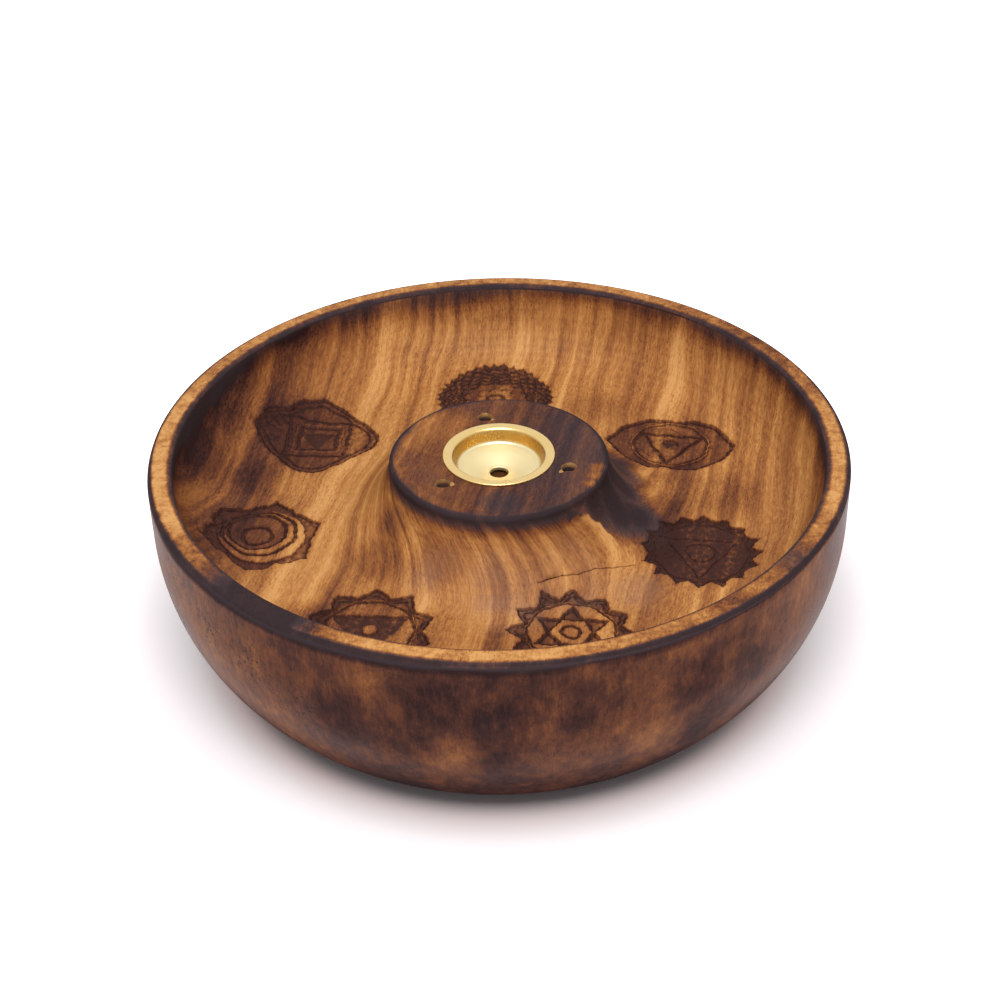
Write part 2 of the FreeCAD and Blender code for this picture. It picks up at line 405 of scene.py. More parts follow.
def lattice(pitch, reach):
    """Triangular lattice of plan points."""
    rows = np.arange(-reach, reach, pitch * math.sqrt(3) / 2)
    columns = np.arange(-reach, reach, pitch)
    x, y = np.meshgrid(columns, rows)
    x[1::2] += pitch / 2
    return np.column_stack([x.ravel(), y.ravel()])


# Hairline crack in the trough floor, as a run of plan points
CRACK = ((28.0, -22.0), (23.3, -23.7), (19.7, -24.8), (16.0, -26.9), (12.0, -28.0), (7.3, -30.0))
CRACK_HALF_WIDTH = 0.17
CRACK_DEPTH = 0.4
CRACK_ACROSS = np.array([-0.36, 0.93])
CRACK_STEP = 0.5


def crack_line():
    """Points along the crack, one step apart, with a fine jagged wander."""
    corners = np.array(CRACK)
    runs = np.concatenate([[0.0], np.cumsum(np.hypot(*np.diff(corners, axis=0).T))])
    steps = np.arange(0.0, runs[-1], CRACK_STEP)
    x = np.interp(steps, runs, corners[:, 0]) + 0.04 * np.sin(5.3 * steps)
    y = np.interp(steps, runs, corners[:, 1]) + 0.06 * np.sin(2.3 * steps)
    return np.column_stack([x, y])


CRACK_LINE = crack_line()


def crack_gap(x, y):
    """Distance to the crack."""
    gaps = np.hypot(x[:, None] - CRACK_LINE[:, 0], y[:, None] - CRACK_LINE[:, 1])
    return gaps.min(axis=1)


def crack_depth(x, y):
    """Depth of the crack, a groove a little narrower than its fixed edges."""
    return CRACK_DEPTH * np.clip(1 - crack_gap(x, y) / (0.8 * CRACK_HALF_WIDTH), 0, 1)


def trough_plan():
    """Plan points of the trough's carved floor, and the edges that hold the crack together."""
    crack = [CRACK_LINE + side * CRACK_HALF_WIDTH * CRACK_ACROSS for side in (-1, 0, 1)]
    fixed = crack + [circle_points(TROUGH_IN), circle_points(TROUGH_OUT)]
    count = len(CRACK_LINE)
    edges = [(side * count + i, side * count + i + 1) for side in range(3) for i in range(count - 1)]
    coarse = lattice(COARSE_PITCH, BOWL_RADIUS)
    keep = in_ring(coarse, TROUGH_IN, TROUGH_OUT, COARSE_MARGIN)
    fine = []
    for _, centre, _, _ in MEDALLIONS:
        keep &= distance_from(centre, *coarse.T) > MEDALLION_REACH
        spots = lattice(FINE_PITCH, MEDALLION_REACH)
        spots = spots[np.hypot(*spots.T) < MEDALLION_REACH - FINE_MARGIN] + centre
        fine.append(spots[carving(*spots.T)[1] > EDGE_MARGIN])
    walls = np.vstack([outline_points(shape, centre) for shape, _, centre in CUTS])
    fine.append(thin_out(walls, WALL_PITCH))
    inner = np.vstack([coarse[keep]] + fine)
    clear = in_ring(inner, TROUGH_IN, TROUGH_OUT, FINE_MARGIN) & (crack_gap(*inner.T) > CRACK_MARGIN)
    return np.vstack(fixed + [inner[clear]]), edges


def fill_plan(points, edges, keep):
    """Delaunay triangles over plan points, those whose middle passes the keep test."""
    vectors = [Vector((float(x), float(y))) for x, y in points]
    made = delaunay_2d_cdt(vectors, edges, [], 0, 1e-5)
    corners = np.array([[v.x, v.y] for v in made[0]])
    faces = np.array([face for face in made[2] if len(face) == 3])
    middles = corners[faces].mean(axis=1)
    return corners, faces[keep(middles[:, 0], middles[:, 1])]


class Surface:
    """Gathers points and faces of one mesh, in millimetres."""

    def __init__(self):
        self.points = []
        self.faces = []
        self.count = 0

    def add(self, points, faces):
        self.points.append(points)
        self.faces += [tuple(int(i) + self.count for i in face) for face in faces]
        self.count += len(points)

    def revolve(self, profile, columns=COLUMNS, centre=(0.0, 0.0)):
        """Turns a run of (radius, height) pairs about an upright axis."""
        rings = []
        for radius, height in profile:
            plan = circle_points(radius, columns, centre)
            rings.append(np.column_stack([plan, np.full(columns, height)]))
        self.add_rings(rings)

    def add_rings(self, rings):
        """Joins rings of equal length with quads."""
        columns = len(rings[0])
        faces = []
        for row in range(len(rings) - 1):
            for column in range(columns):
                beside = (column + 1) % columns
                low = row * columns
                high = low + columns
                faces.append((low + column, low + beside, high + beside, high + column))
        self.add(np.vstack(rings), faces)

    def to_object(self, name, weld=0.001):
        """A Blender object with seams welded and normals facing out."""
        mesh = bpy.data.meshes.new(name)
        mesh.from_pydata((np.vstack(self.points) * MM).tolist(), [], self.faces)
        shell = bmesh.new()
        shell.from_mesh(mesh)
        bmesh.ops.remove_doubles(shell, verts=shell.verts, dist=weld * MM)
        bmesh.ops.dissolve_degenerate(shell, edges=shell.edges, dist=weld * MM)
        bmesh.ops.recalc_face_normals(shell, faces=shell.faces)
        shell.to_mesh(mesh)
        shell.free()
        mesh.shade_smooth()
        mesh.set_sharp_from_angle(angle=math.radians(SHARP_ANGLE))
        piece = bpy.data.objects.new(name, mesh)
        bpy.context.scene.collection.objects.link(piece)
        return piece


def mesh_points(mesh):
    """Vertex coordinates in millimetres."""
    flat = np.empty(len(mesh.vertices) * 3, np.float32)
    mesh.vertices.foreach_get("co", flat)
    return flat.reshape(-1, 3).astype(float) / MM


def paint(mesh, name, values):
    """Stores one number for each vertex, for the material to read."""
    layer = mesh.attributes.new(name, "FLOAT", "POINT")
    layer.data.foreach_set("value", np.clip(values, 0, 1).astype(np.float32))


def outer_profile():
    """Underside, belly, wall, rim and lip, from the middle of the underside inwards over the rim."""
    belly_arc = ((BOWL_RADIUS - BASE_RADIUS) ** 2 + BELLY_HEIGHT ** 2) / (2 * (BOWL_RADIUS - BASE_RADIUS))
    belly_middle = (BOWL_RADIUS - belly_arc, BELLY_HEIGHT)
    belly_start = math.degrees(math.atan2(-BELLY_HEIGHT, BASE_RADIUS - belly_middle[0]))
    profile = [(0.0, 0.0)]
    profile += [(radius, 0.0) for radius in np.linspace(6, BASE_RADIUS - 0.4, 8)]
    profile += arc_points(belly_middle, belly_arc, belly_start, 0, 26)
    wall_top = BOWL_HEIGHT - RIM_OUTER_ROUND
    profile += [(BOWL_RADIUS, height) for height in np.linspace(BELLY_HEIGHT, wall_top, 7)[1:-1]]
    profile += arc_points((BOWL_RADIUS - RIM_OUTER_ROUND, wall_top), RIM_OUTER_ROUND, 0, 90, 6)
    rim_flat = (BOWL_RADIUS - RIM_OUTER_ROUND, MOUTH_RADIUS + RIM_INNER_ROUND)
    profile += [(radius, BOWL_HEIGHT) for radius in np.linspace(*rim_flat, 9)[1:-1]]
    inner_middle = (MOUTH_RADIUS + RIM_INNER_ROUND, BOWL_HEIGHT - RIM_INNER_ROUND)
    profile += arc_points(inner_middle, RIM_INNER_ROUND, 90, 180, 5)
    lip_foot = BOWL_HEIGHT - LIP_HEIGHT
    profile.append((MOUTH_RADIUS, lip_foot))
    cove_end = math.degrees(math.acos((TROUGH_OUT - COVE_START) / COVE_ARC))
    profile += arc_points((COVE_START, lip_foot), COVE_ARC, 0, -cove_end, 6)[1:]
    return profile


def boss_profile():
    """Flare and boss side, from the carved trough up to the flat of the boss."""
    flare_middle = (FLARE_END, FLOOR_LEVEL + FLARE_ARC)
    flare_start = 180 + math.degrees(math.acos((FLARE_END - TROUGH_IN) / FLARE_ARC))
    flare_end = 180 + math.degrees(math.asin((FLARE_ARC - FLARE_RISE) / FLARE_ARC))
    profile = arc_points(flare_middle, FLARE_ARC, flare_start, flare_end, 10)
    profile.append((BOSS_RADIUS, BOSS_TOP - BOSS_ROUND))
    profile += arc_points((BOSS_RADIUS - BOSS_ROUND, BOSS_TOP - BOSS_ROUND), BOSS_ROUND, 0, 90, 5)[1:]
    profile.append((BOSS_FLAT, BOSS_TOP))
    return profile


def stick_centres():
    """Plan centres of the stick holes."""
    angles = np.radians(STICK_ANGLE + 360.0 / STICK_COUNT * np.arange(STICK_COUNT))
    return np.column_stack([STICK_CIRCLE * np.cos(angles), STICK_CIRCLE * np.sin(angles)])


# Where each stick hole's lip is chipped: direction in degrees, reach in millimetres, spread in degrees
CHIPS = (
    ((330.0, 0.8, 30.0), (80.0, 0.3, 40.0)),
    ((350.0, 1.0, 34.0), (200.0, 0.25, 40.0)),
    ((222.0, 1.5, 22.0), (60.0, 0.3, 50.0)),
)
LIP_COUNT = 48
LIP_TURNS = np.arange(LIP_COUNT + 1) * 360.0 / LIP_COUNT
CHIP_DROP = 0.45
LIP_MARGIN = 0.06
# The lip is drawn with straight chords, which lie a little inside its true reach
LIP_CHORD = 0.985
STICK_HOLES = tuple(zip(stick_centres(), CHIPS))
HOLE_RINGS = (CHIP_DROP, 1.2, 4.0, 9.0, STICK_DEPTH)


def lip_reach(chips):
    """How far a stick hole's broken lip reaches past the drilled wall, round the hole."""
    angles = LIP_TURNS[:-1]
    reach = 0.10 + 0.05 * np.sin(np.radians(angles * 5)) + 0.03 * np.sin(np.radians(angles * 11))
    for direction, size, spread in chips:
        away = (angles - direction + 180) % 360 - 180
        reach += size * np.clip(1 - np.abs(away) / spread, 0, 1)
    return reach


def lip_toward(centre, chips, x, y):
    """Reach of a stick hole's lip in the direction of each plan point."""
    angle = np.degrees(np.arctan2(y - centre[1], x - centre[0])) % 360
    reach = lip_reach(chips)
    return np.interp(angle, LIP_TURNS, np.append(reach, reach[0]))


def stick_hole_rings(centre, chips):
    """Rings of one stick hole, from its chipped lip down to the drill's tip."""
    toward = circle_points(1.0, LIP_COUNT)
    lip = centre + toward * (STICK_RADIUS + lip_reach(chips))[:, None]
    wall = centre + toward * STICK_RADIUS
    tip = np.tile(centre, (LIP_COUNT, 1))
    levels = [(lip + toward * LIP_MARGIN, 0.0), (lip, 0.0)]
    levels += [(wall, drop) for drop in HOLE_RINGS]
    levels.append((tip, STICK_DEPTH + STICK_RADIUS * DRILL_TIP))
    return [np.column_stack([plan, np.full(LIP_COUNT, BOSS_TOP - drop)]) for plan, drop in levels]


def add_boss_top(surface):
    """Flat of the boss with its three stick holes."""
    flat = lattice(COARSE_PITCH, BOSS_RADIUS)
    keep = in_ring(flat, SOCKET_RADIUS, BOSS_FLAT, FLAT_MARGIN)
    points = [circle_points(BOSS_FLAT), circle_points(SOCKET_RADIUS)]
    for centre, chips in STICK_HOLES:
        rings = stick_hole_rings(centre, chips)
        surface.add_rings(rings)
        points.append(rings[0][:, :2])
        keep &= distance_from(centre, *flat.T) > STICK_RADIUS + HOLE_MARGIN

    def on_flat(x, y):
        inside = (np.hypot(x, y) > SOCKET_RADIUS) & (np.hypot(x, y) < BOSS_FLAT)
        for centre, chips in STICK_HOLES:
            lip = lip_toward(centre, chips, x, y) * LIP_CHORD
            inside &= distance_from(centre, x, y) > STICK_RADIUS + LIP_MARGIN + lip
        return inside

    corners, faces = fill_plan(np.vstack(points + [flat[keep]]), [], on_flat)
    surface.add(np.column_stack([corners, np.full(len(corners), BOSS_TOP)]), faces)


def add_trough(surface):
    """Carved floor of the trough."""
    def on_trough(x, y):
        radius = np.hypot(x, y)
        return (radius > TROUGH_IN * math.cos(math.pi / COLUMNS)) & (radius < TROUGH_OUT)

    corners, faces = fill_plan(*trough_plan(), on_trough)
    x, y = corners.T
    radius = np.hypot(x, y)
    height = trough_height(radius) - carving(x, y)[0] - crack_depth(x, y)
    surface.add(np.column_stack([x, y, height]), faces)


def make_bowl():
    surface = Surface()
    surface.revolve(outer_profile())
    surface.revolve(boss_profile())
    socket = [(SOCKET_RADIUS, BOSS_TOP), (SOCKET_RADIUS, SOCKET_FLOOR), (PILOT_RADIUS, SOCKET_FLOOR)]
    pilot_foot = SOCKET_FLOOR - PILOT_DEPTH
    socket += [(PILOT_RADIUS, pilot_foot), (0.0, pilot_foot - PILOT_RADIUS * DRILL_TIP)]
    surface.revolve(socket)
    add_boss_top(surface)
    add_trough(surface)
    bowl = surface.to_object("carved_bowl")
    paint_bowl(bowl.data)
    return bowl


def fade(distance, full, none):
    """1 up to the full distance, falling smoothly to 0 at the none distance."""
    share = np.clip((none - distance) / (none - full), 0, 1)
    return share * share * (3 - 2 * share)


def flicker(angle, phase):
    """Uneven edge of a torch-scorched band round the bowl, about 0 to 1."""
    slow = 0.22 * np.sin(3 * angle + phase)
    medium = 0.16 * np.sin(7 * angle + 2 * phase)
    quick = 0.12 * np.sin(17 * angle + 3 * phase)
    return 0.5 + slow + medium + quick


# Soft patches of the wood: x, y and z of the middle, reach and strength
# Clouds left by the torch, and painted shade: the patch at -41, -39, 33 is the lip's shadow painted on the
# floor
SCORCH_AND_SHADE = (
    (38, -1, 32, 10, 0.28), (48, 4, 32, 13, 0.24), (36, 13, 32, 10, 0.25), (34, -15, 32, 8, 0.35),
    (-66, 13, 42, 15, 0.32), (-64, 28, 44, 12, 0.3), (-57, 14, 32, 10, 0.22), (-50, 40, 36, 10, 0.12),
    (-21, -13, 38, 8, 0.4), (-13, -24, 36, 11, 0.36), (-25, -20, 34, 9, 0.35), (1, -30, 34, 10, 0.25),
    (-1, -47, 32, 9, 0.35), (-41, -39, 33, 10, 0.4), (-12, -46, 32, 12, 0.15), (22, 41, 32, 10, 0.2),
    (4, 68, 46, 10, 0.25), (30, 62, 45, 12, 0.15), (-31, -67.7, 33, 11, 0.36), (-38, -64, 42, 14, 0.18),
    (-14, -73.6, 40, 13, 0.32), (-1, -74.9, 35, 13, 0.38), (5, -74.9, 44, 14, 0.2),
    (-2, -73.6, 27, 9, 0.26), (-20, -72, 30, 12, 0.28), (16, -73, 38, 12, 0.2), (37.4, -65, 38, 11, 0.3),
    (44.7, -60, 42, 9, 0.16), (48, -57, 33, 10, 0.16), (39, -61.7, 24, 11, 0.22), (0.5, -18, 46, 11, 0.64),
    (-20, 0, 46, 9, 0.48),
)
# Scorched tongue from the boss's side to the floor: plan points along it, with reach and strength
TONGUE = (
    (15, -18, 7, 0.8), (20, -13, 9, 0.95), (24.5, -9, 11, 1), (29, -7, 11, 0.9), (33, -11, 9, 0.6),
    (26, 0, 11, 0.95), (27, 7, 10, 0.8), (25, 14, 10, 0.6),
)
# Torn front edge of the tongue, as a run of plan points
TONGUE_EDGE = ((12.6, -20.4), (21.2, -15.2), (24.0, -16.5), (30.0, -26.0))
# Places that stayed pale, and a painted sheen: the patch at -60, -45, 36 lightens the outer wall at the left
PALE_AND_SHEEN = (
    (-8.5, -73.3, 26.5, 6.5, 0.55), (6.3, -74.6, 33, 6, 0.4), (11, -70.5, 21, 8, 0.3),
    (31.3, -68.2, 42.3, 9, 0.3), (28.6, -66.7, 23, 10, 0.3), (-38, -56, 14, 16, 0.25),
    (-60, -45, 36, 16, 0.5), (21.5, -5.5, 46, 2.8, 0.4), (21.3, -8.5, 46, 3, 0.5),
    (20, -11.5, 45.5, 2.6, 0.45), (-46, 12, 32, 9, 0.4), (-31, -6, 33, 12, 0.2), (-50, 46, 40, 11, 0.45),
    (-12, 12.5, 46, 9, 0.22),
)
# Worm-like pits in the wall
PITTED = (
    (-66, -36, 43, 9, 0.8), (-58, -47, 39, 9, 1), (-49, -56.5, 36, 9, 1), (-40, -63, 32, 8, 0.9),
    (-20, -72, 45, 7, 0.6), (30, -68, 40, 7, 0.5),
)
# Painted sheen: a pale grey-brown laid over the floor in front of the boss
PAINTED_FRONT_SHEEN = (
    (0, -33, 33, 14, 0.7), (14, -29, 34, 12, 0.6), (27, -30, 32, 10, 0.4), (-13, -28, 35, 11, 0.45),
)
# Scorch of the rim's flat round the bowl, less than nothing where it is pale: degrees from +X, amount
RIM_BURN = (
    (0, -0.4), (12, 0.1), (25, 0.3), (45, 0.3), (65, -0.05), (90, -0.2), (125, 0.0), (150, 0.05),
    (175, -0.6), (200, -0.6), (208, 0.2), (217, 0.45), (224, 0.95), (236, 1.0), (241, 0.4), (245, 0.0),
    (252, -0.4), (268, -0.6), (285, -0.2), (298, 0.1), (308, 0.4), (314, 0.15), (322, 0.55), (330, 0.2),
    (340, -0.4), (360, -0.4),
)
# Scorch on the hollow's wall under the mouth, with painted shade on the lip under the rim there, and scorch
# on the outer wall under the rim: degrees, reach, strength
UNDER_MOUTH = (
    (0, 6, 0.75), (30, 7, 0.55), (60, 8, 0.55), (100, 10, 0.6), (125, 8.5, 0.55), (138, 4, 0.5),
    (150, 9, 0.7), (170, 10, 0.75), (195, 9, 0.7), (220, 5, 0.6), (245, 2, 0.4), (300, 4.5, 0.6),
    (330, 7, 0.75), (345, 7.5, 0.8), (360, 6, 0.75),
)
UNDER_RIM = (
    (0, 1.9, 0.9), (90, 2.1, 0.9), (180, 2.2, 0.9), (205, 2.3, 0.9), (222, 3.6, 0.9), (238, 3.6, 0.9),
    (250, 2.2, 0.95), (262, 2.2, 0.95), (290, 2.8, 0.9), (305, 2.2, 0.9), (320, 1.9, 0.9), (360, 1.9, 0.9),
)
# The boss: scorch in its middle, its rise for each millimetre to the right, scorch in the holes, smoke on top
BOSS_BURN = 0.48
BOSS_BURN_RISE = 0.006
HOLE_BURN = 0.7
BOSS_SMOKE = 0.22
# Share of the scorch that a wholly pale place is spared
PALE_SHARE = 0.8
# Heights on the outer wall between which the foot's painted shade and its dullness fade out
FOOT_FADE = (4.0, 26.0)
# Depth under a surface that still counts as it: the rim's flat, the boss's top and the carved trough
RIM_SKIN = 0.8
BOSS_SKIN = 1.0
TROUGH_SKIN = 2.0
ROUNDING = 0.01


def around(table, angle):
    """Values of a table whose first column is degrees round the bowl."""
    turns, *columns = zip(*table)
    degrees = np.degrees(angle) % 360
    return [np.interp(degrees, turns, column) for column in columns]


def is_inside(radius, z):
    """Which points lie in the bowl's hollow, its boss included."""
    return (radius < MOUTH_RADIUS + ROUNDING) & (z > trough_height(radius) - TROUGH_SKIN)


def patch_amount(points, patches):
    """Strongest of a list of soft round patches at each point."""
    amount = np.zeros(len(points))
    for *middle, reach, strength in patches:
        gap = np.linalg.norm(points - np.array(middle), axis=1)
        amount = np.maximum(amount, strength * fade(gap, reach * 0.25, reach))
    return amount


def tongue_amount(x, y):
    """Scorch of the tongue beside the boss."""
    amount = np.zeros_like(x)
    for *middle, reach, strength in TONGUE:
        gap = distance_from(middle, x, y)
        amount = np.maximum(amount, strength * fade(gap, reach * 0.15, reach))
    return amount


def torn_edge(x, y):
    """Distance behind the tongue's torn front edge, in tenths either side of one half."""
    jagged = 0.35 * np.sin(0.9 * x + 1.0) + 0.15 * np.sin(2.3 * x) + 0.06 * np.sin(5.3 * x)
    behind = y - np.interp(x, *zip(*TONGUE_EDGE)) + jagged
    return np.where(x > TONGUE_EDGE[0][0] - 4, 0.5 + 0.1 * behind, 1.0)


def rim_band(points):
    """Which points lie on the rim's flat, and the scorch there."""
    x, y, z = points.T
    on_rim = (z > BOWL_HEIGHT - RIM_SKIN) & (np.hypot(x, y) > MOUTH_RADIUS)
    amount, = around(RIM_BURN, np.arctan2(y, x))
    return on_rim, amount


def pale_and_sheen_amount(points):
    """How pale the wood stayed, with a painted sheen on the outer wall at the left."""
    on_rim, rim_burn = rim_band(points)
    return np.where(on_rim, np.maximum(-rim_burn, 0), patch_amount(points, PALE_AND_SHEEN))


def burn_and_shade_amount(points):
    """How strongly the torch has scorched each point, with painted shade on the lip under the rim, below the
    boss's edge and in the lip's shadow on the floor.
    """
    x, y, z = points.T
    radius = np.hypot(x, y)
    angle = np.arctan2(y, x)
    rim_edge = np.hypot(BOWL_RADIUS - radius, BOWL_HEIGHT - z)
    mouth_edge = np.hypot(MOUTH_RADIUS - radius, BOWL_HEIGHT - z)
    boss_edge = np.hypot(BOSS_RADIUS - radius, BOSS_TOP - z)
    inside = is_inside(radius, z)
    on_rim, rim_burn = rim_band(points)
    outside = ~inside & ~on_rim
    boss = inside & (radius < BOSS_RADIUS)
    spared = 1 - PALE_SHARE * patch_amount(points, PALE_AND_SHEEN)
    burn_and_shade = np.where(boss, BOSS_BURN + BOSS_BURN_RISE * x, 0.0)
    burn_and_shade = np.maximum(burn_and_shade, patch_amount(points, SCORCH_AND_SHADE)) * spared
    burn_and_shade = np.where(on_rim, np.maximum(rim_burn, 0), burn_and_shade)
    uneven = 0.6 + 0.8 * flicker(angle, 0.7)
    wall_reach, wall_burn = around(UNDER_RIM, angle)
    wall_burn = wall_burn * fade(rim_edge, 0.6, wall_reach * uneven)
    edge_burn = 0.95 * fade(rim_edge, 0.7, 1.2 + 0.6 * flicker(angle, 1.0))
    burn_and_shade = np.maximum(burn_and_shade, np.where(outside, wall_burn, edge_burn))
    # Scorch under the mouth, with painted shade on the lip below the rim
    hollow_reach, hollow_burn_and_shade = around(UNDER_MOUTH, angle)
    hollow_burn_and_shade = hollow_burn_and_shade * fade(mouth_edge, 0.4, hollow_reach * uneven)
    edge_burn = 0.8 * fade(mouth_edge, 0.5, 1.1 + 0.8 * flicker(angle, 2.3))
    burn_and_shade = np.maximum(burn_and_shade, np.where(inside, hollow_burn_and_shade, edge_burn))
    # Painted shade: below the boss's edge the dark reaches 6 mm down its side and onto the flare, where the
    # boss meets the floor
    boss_reach = np.where(z < BOSS_TOP - 0.8, 6.0, 1.3 + 1.4 * flicker(angle, 0.4))
    burn_and_shade = np.maximum(burn_and_shade, 0.9 * fade(boss_edge, 0.7, boss_reach))
    burn_and_shade = np.where(boss | (boss_edge < 2), burn_and_shade * spared, burn_and_shade)
    in_hole = inside & (radius < BOSS_FLAT) & (z < BOSS_TOP - BOSS_SKIN)
    return np.where(in_hole, HOLE_BURN, burn_and_shade)


def paint_bowl(mesh):
    """Stores on each vertex how scorched, pale, smoked, pitted, carved or raw the wood is, with painted shade
    in the scorch and at the foot, and painted sheen in the pale amount and on the floor in front of the boss.
    """
    points = mesh_points(mesh)
    x, y, z = points.T
    radius = np.hypot(x, y)
    inside = is_inside(radius, z)
    outside = ~inside & (z < BOWL_HEIGHT - RIM_SKIN)
    on_boss = inside & (radius < BOSS_RADIUS) & (z > BOSS_TOP - BOSS_SKIN)
    floor = inside & (radius > TROUGH_IN) & (radius < TROUGH_OUT)
    carved = np.zeros(len(points))
    depth, edge = carving(x[floor], y[floor])
    carved[floor] = np.clip(depth / 0.6, 0, 1) * 1.05 + 0.35 * np.exp(-edge / 0.22)
    carved[floor] += crack_depth(x[floor], y[floor]) * 1.8
    raw = np.where((radius < SOCKET_RADIUS + 0.05) & (z < BOSS_TOP - 0.1), 0.15, 0.0)
    for centre, chips in STICK_HOLES:
        reach = lip_toward(centre, chips, x, y)
        on_lip = (distance_from(centre, x, y) < STICK_RADIUS + reach + 0.02) & (z > BOSS_TOP - BOSS_SKIN)
        raw = np.maximum(raw, on_lip * np.clip(reach / 0.5, 0.65, 1))
    amounts = {
        "burn_and_shade": burn_and_shade_amount(points),
        "tongue": tongue_amount(x, y) * (inside & (radius > BOSS_RADIUS - 0.6)),
        "torn": torn_edge(x, y),
        "pale_and_sheen": pale_and_sheen_amount(points),
        "smoked": np.where(on_boss, BOSS_SMOKE, outside),
        # Painted shade that darkens the outer wall towards the foot, which is also duller
        "dull_foot_shade": outside * fade(z, *FOOT_FADE),
        "rim": rim_band(points)[0],
        "pitted": patch_amount(points, PITTED),
        "painted_front_sheen": patch_amount(points, PAINTED_FRONT_SHEEN),
        "carved": carved,
        "raw": raw,
    }
    for name, values in amounts.items():
        paint(mesh, name, values)


def cup_profile():
    """Section of the pressed cup: from its outer edge over the top to the hole, and back underneath."""
    floor_edge = CUP_TOP - CUP_WALL_DEPTH
    floor_middle = floor_edge - CUP_DISH
    lip_end = floor_middle - CUP_HOLE_LIP
    lip_outside = CUP_HOLE + CUP_SHEET * 0.7
    under_flange = CUP_TOP - CUP_SHEET
    edge_round = 0.25
    mouth_round = 1.0
    floor_round = 0.85
    hole_round = 0.35
    profile = arc_points((FLANGE_RADIUS - edge_round, CUP_TOP - edge_round), edge_round, 0, 90, 4)
    flange = np.linspace(FLANGE_RADIUS - 0.6, CUP_MOUTH + mouth_round + 0.3, 4)
    profile += [(radius, CUP_TOP) for radius in flange]
    profile += arc_points((CUP_MOUTH + mouth_round, CUP_TOP - mouth_round), mouth_round, 90, 170, 5)
    profile.append((CUP_FLOOR_RADIUS + 0.35, floor_edge + 0.7))
    profile += arc_points((CUP_FLOOR_RADIUS - 0.62, floor_edge + 0.42), floor_round, -12, -76, 5)
    dish_edge = (CUP_FLOOR_RADIUS - 1.4, floor_edge - 0.45)
    dish_middle = (CUP_HOLE + hole_round, floor_middle + 0.1)
    for share in np.linspace(0.15, 1.0, 8):
        radius = dish_edge[0] + (dish_middle[0] - dish_edge[0]) * share
        height = dish_edge[1] + (dish_middle[1] - dish_edge[1]) * share ** 1.15
        profile.append((radius, height))
    profile += arc_points((CUP_HOLE + hole_round, floor_middle - 0.3), hole_round, 75, 180, 4)
    profile += [
        (CUP_HOLE, lip_end),
        (lip_outside, lip_end),
        (lip_outside, floor_middle - CUP_SHEET),
        (CUP_FLOOR_RADIUS, floor_edge - CUP_SHEET),
        (CUP_MOUTH + CUP_SHEET, under_flange - 0.3),
        (CUP_MOUTH + CUP_SHEET + 0.3, under_flange),
        (FLANGE_RADIUS - 0.1, under_flange),
        (FLANGE_RADIUS, under_flange + 0.1),
        profile[0],
    ]
    return profile


def make_cup():
    surface = Surface()
    surface.revolve(cup_profile(), CUP_COLUMNS)
    return surface.to_object("brass_cup")


def add_node(tree, kind, inputs=None, **settings):
    """A shader node; an input is a number, a colour or another node's output."""
    node = tree.nodes.new(kind)
    for name, value in settings.items():
        setattr(node, name, value)
    for name, value in (inputs or {}).items():
        if isinstance(value, bpy.types.NodeSocket):
            tree.links.new(value, node.inputs[name])
        else:
            node.inputs[name].default_value = value
    return node


def calc(tree, operation, first, second=0.0, third=0.0, clamp=False):
    inputs = {0: first, 1: second, 2: third}
    return add_node(tree, "ShaderNodeMath", inputs, operation=operation, use_clamp=clamp).outputs[0]


def times(tree, first, second):
    return calc(tree, "MULTIPLY", first, second)


def less(tree, first, second):
    return calc(tree, "SUBTRACT", first, second)


def shift(tree, base, value, amount, clamp=False):
    """A base with that amount of a value added."""
    return calc(tree, "MULTIPLY_ADD", value, amount, base, clamp)


def sway(tree, base, value, amount):
    """Moves a base up and down with a noise value that lies about one half."""
    return shift(tree, base, less(tree, value, 0.5), amount)


def blend(tree, share, first, second):
    """Blend of two numbers."""
    return shift(tree, first, less(tree, second, first), share)


def dot(tree, vector, direction):
    inputs = {0: vector, 1: direction}
    return add_node(tree, "ShaderNodeVectorMath", inputs, operation="DOT_PRODUCT").outputs["Value"]


def length(tree, vector):
    return add_node(tree, "ShaderNodeVectorMath", {0: vector}, operation="LENGTH").outputs["Value"]


def stretch(tree, vector, scale):
    return add_node(tree, "ShaderNodeVectorMath", {0: vector, 1: scale}, operation="MULTIPLY").outputs[0]


def even(scale):
    """The same scale along all three axes."""
    return (scale, scale, scale)


def noise(tree, vector, scale, detail=2.0, roughness=0.5):
    """Noise over a vector, stretched by a scale."""
    vector = stretch(tree, vector, scale)
    inputs = {"Vector": vector, "Scale": 1.0, "Detail": detail, "Roughness": roughness}
    return add_node(tree, "ShaderNodeTexNoise", inputs).outputs[0]


def speckle(tree, vector, scale):
    """Distance to the nearest of a scatter of spots."""
    inputs = {"Vector": stretch(tree, vector, scale), "Scale": 1.0}
    return add_node(tree, "ShaderNodeTexVoronoi", inputs).outputs["Distance"]


def between(tree, value, low, high, to_low=0.0, to_high=1.0):
    """Smooth step of a value from low to high."""
    inputs = {"Value": value, "From Min": low, "From Max": high, "To Min": to_low, "To Max": to_high}
    return add_node(tree, "ShaderNodeMapRange", inputs, interpolation_type="SMOOTHSTEP").outputs[0]


def blend_colour(tree, share, first, second):
    """Blend of two colours; 6, 7 and 2 are the node's colour sockets."""
    inputs = {0: share, 6: first, 7: second}
    return add_node(tree, "ShaderNodeMix", inputs, data_type="RGBA").outputs[2]


def ramp(tree, value, stops, interpolation="EASE"):
    """Colour ramp over (position, colour) stops."""
    node = add_node(tree, "ShaderNodeValToRGB", {0: value})
    node.color_ramp.interpolation = interpolation
    elements = node.color_ramp.elements
    while len(elements) < len(stops):
        elements.new(1.0)
    for element, (position, colour) in zip(elements, stops):
        element.position = position
        element.color = colour
    return node.outputs[0]


